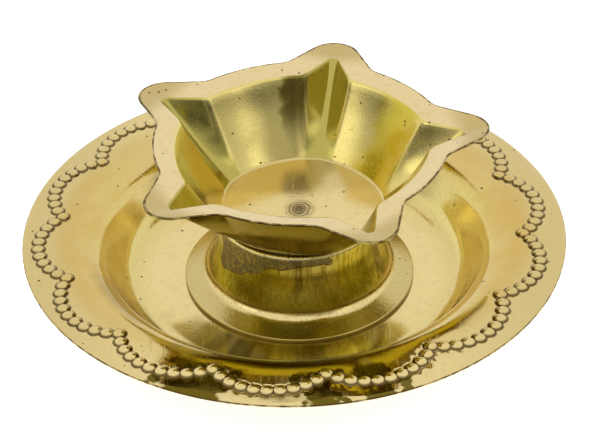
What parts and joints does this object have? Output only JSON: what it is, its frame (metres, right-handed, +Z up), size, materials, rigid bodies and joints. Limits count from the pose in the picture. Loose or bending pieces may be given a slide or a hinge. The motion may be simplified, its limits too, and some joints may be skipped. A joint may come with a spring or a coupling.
{
  "type": "diya",
  "caption": "Footed brass oil lamp: a star-shaped wick bowl on a waisted stem, standing in a round drip plate with a beaded, scalloped border.",
  "frame": {"origin": "middle of the flat underside of the plate's floor, on the surface that the lamp stands on", "axes": "+Z up out of the bowl, -Y towards the lamp's front as it is seen in the picture, +X to the right"},
  "size_m": [0.125, 0.125, 0.0379],
  "materials": {
    "polished_brass": "polished by hand, bright, with fine scratches and small pits",
    "spun_brass": "spun and brushed, with fine upright streaks",
    "solder": "dull grey soft solder"
  },
  "bodies": {
    "root": {"plate": "polished_brass", "stem": "spun_brass", "bowl": "polished_brass", "bowl_solder": "solder", "foot_solder": "solder"}
  },
  "joints": []
}
